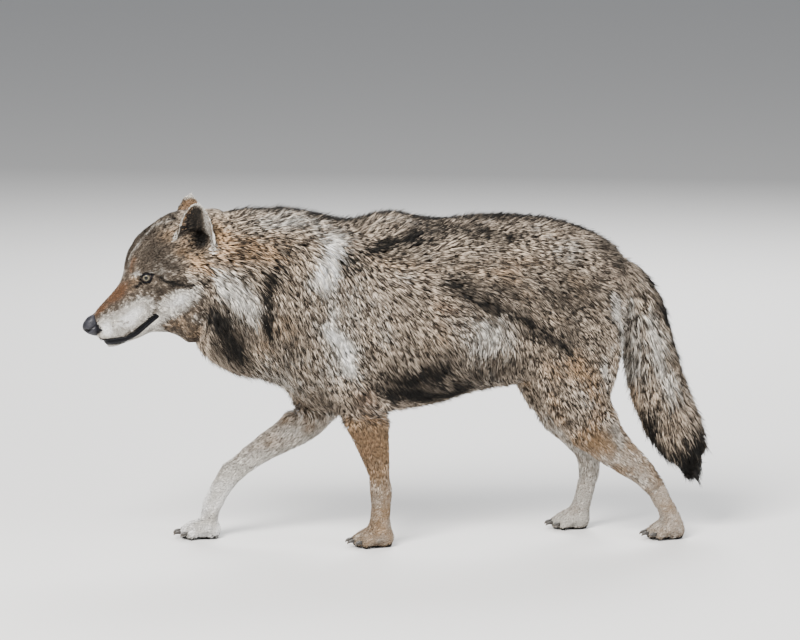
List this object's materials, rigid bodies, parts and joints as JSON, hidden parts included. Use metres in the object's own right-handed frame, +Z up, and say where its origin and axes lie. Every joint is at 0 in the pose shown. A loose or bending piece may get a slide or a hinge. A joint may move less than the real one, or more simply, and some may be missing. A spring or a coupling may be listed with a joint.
{
  "type": "grey wolf",
  "caption": "Life-size grey wolf in mid-stride with its head held low and its tail hanging, built as a still museum model.",
  "frame": {"origin": "on the floor, below the middle of the wolf's overall box", "axes": "+X from the nose towards the tail, +Y to the wolf's right, +Z up"},
  "size_m": [1.2352, 0.2326, 0.6803],
  "materials": {
    "coat_back": "grizzled grey-brown fur with black guard hairs",
    "coat_neck": "ochre and cream fur, long and loose",
    "coat_head": "short grey and rust fur with white cheeks",
    "coat_pale": "short whitish grey fur",
    "coat_leg": "short tan fur",
    "coat_ear": "short tan fur, dark and hairy inside",
    "nose_leather": "moist pebbled skin",
    "eye": "pale amber glass eye",
    "claw": "dark horn"
  },
  "bodies": {
    "root": {"head": "coat_head", "lower_jaw": "coat_pale", "nose": "nose_leather", "ear_left": "coat_ear", "ear_right": "coat_ear", "eye_left": "eye", "eye_right": "eye", "neck": "coat_neck", "trunk": "coat_back", "tail": "coat_back", "foreleg_left": "coat_leg", "foreleg_right": "coat_pale", "forepaw_left": "coat_leg", "forepaw_right": "coat_pale", "thigh_left": "coat_back", "thigh_right": "coat_back", "hindleg_left": "coat_leg", "hindleg_right": "coat_leg", "hindpaw_left": "coat_leg", "hindpaw_right": "coat_leg", "claw_forepaw_left_1": "claw", "claw_forepaw_left_2": "claw", "claw_forepaw_left_3": "claw", "claw_forepaw_left_4": "claw", "claw_forepaw_right_1": "claw", "claw_forepaw_right_2": "claw", "claw_forepaw_right_3": "claw", "claw_forepaw_right_4": "claw", "claw_hindpaw_left_1": "claw", "claw_hindpaw_left_2": "claw", "claw_hindpaw_left_3": "claw", "claw_hindpaw_left_4": "claw", "claw_hindpaw_right_1": "claw", "claw_hindpaw_right_2": "claw", "claw_hindpaw_right_3": "claw", "claw_hindpaw_right_4": "claw"}
  },
  "joints": []
}
